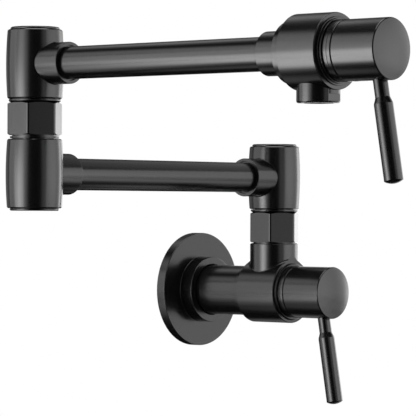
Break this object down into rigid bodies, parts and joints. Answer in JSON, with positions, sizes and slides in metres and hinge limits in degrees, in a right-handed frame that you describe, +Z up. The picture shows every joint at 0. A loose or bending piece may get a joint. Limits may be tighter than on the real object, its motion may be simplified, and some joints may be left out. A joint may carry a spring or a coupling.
{
  "type": "wall mounted pot filler",
  "caption": "Wall mounted pot filler: a flange and shut-off valve at the wall, folding swivel arms with an elbow, and a second valve with a downward outlet, both with lever handles.",
  "frame": {"origin": "centre of the inlet thread's mouth on the wall plane, at the back of the wall flange", "axes": "+Y into the wall along the inlet, +Z up, +X to the right seen from the room; the lower arm lies along -X and the upper arm along -Y at rest"},
  "size_m": [0.3394, 0.4084, 0.2793],
  "materials": {
    "satin_black": "satin black powder coat over turned and cast brass",
    "brass_raw": "machined, uncoated",
    "seal_rubber": "moulded",
    "ceramic": "ground and lapped ceramic",
    "steel": "machined stainless steel",
    "nylon": "moulded"
  },
  "bodies": {
    "base": {"wall_flange": "satin_black", "flange_gasket": "seal_rubber", "flange_seal": "seal_rubber", "flange_screw": "steel", "lower_valve_body": "satin_black", "lower_cartridge": "brass_raw", "lower_seat_seal": "seal_rubber", "lower_fixed_disc": "ceramic", "lower_trim_ring": "satin_black", "lower_lock_ring": "satin_black", "shoulder_post": "brass_raw", "shoulder_hex_nut": "satin_black", "shoulder_bearing_ring": "satin_black", "shoulder_seals": "seal_rubber", "shoulder_washer": "steel", "shoulder_screw": "steel"},
    "lower_handle": {"lower_stem": "brass_raw", "lower_stem_seal": "seal_rubber", "lower_moving_disc": "ceramic", "lower_handle_hub": "satin_black", "lower_lever": "satin_black", "lower_handle_screw": "steel"},
    "lower_arm": {"shoulder_barrel": "satin_black", "shoulder_cap": "satin_black", "lower_arm_tube": "satin_black", "elbow_lower_barrel": "satin_black", "elbow_bottom_cap": "satin_black", "elbow_post": "brass_raw", "elbow_spacer_ring": "satin_black", "elbow_hex_nut": "satin_black", "elbow_bearing_ring": "satin_black", "elbow_seals": "seal_rubber", "elbow_washer": "steel", "elbow_screw": "steel"},
    "upper_arm": {"elbow_upper_barrel": "satin_black", "elbow_cap": "satin_black", "upper_arm_tube": "satin_black", "upper_arm_collar": "satin_black", "upper_valve_body": "satin_black", "upper_cartridge": "brass_raw", "upper_seat_seal": "seal_rubber", "upper_fixed_disc": "ceramic", "upper_trim_ring": "satin_black", "upper_lock_ring": "satin_black", "outlet_housing": "satin_black", "aerator_washer": "seal_rubber", "aerator_insert": "nylon"},
    "upper_handle": {"upper_stem": "brass_raw", "upper_stem_seal": "seal_rubber", "upper_moving_disc": "ceramic", "upper_handle_hub": "satin_black", "upper_lever": "satin_black", "upper_handle_screw": "steel"}
  },
  "joints": [
    {"name": "shoulder_swivel", "type": "hinge", "parent": "base", "child": "lower_arm", "pos_m": [0, -0.0835, 0.0892], "axis": [0, 0, 1], "range_deg": [0, 180]},
    {"name": "elbow_swivel", "type": "hinge", "parent": "lower_arm", "child": "upper_arm", "pos_m": [-0.269, -0.0835, 0.167], "axis": [0, 0, 1], "continuous": true},
    {"name": "lower_handle_turn", "type": "hinge", "parent": "base", "child": "lower_handle", "pos_m": [0, -0.0835, 0], "axis": [0, -1, 0], "range_deg": [0, 90]},
    {"name": "upper_handle_turn", "type": "hinge", "parent": "upper_arm", "child": "upper_handle", "pos_m": [-0.269, -0.341, 0.167], "axis": [0, -1, 0], "range_deg": [0, 90]}
  ]
}
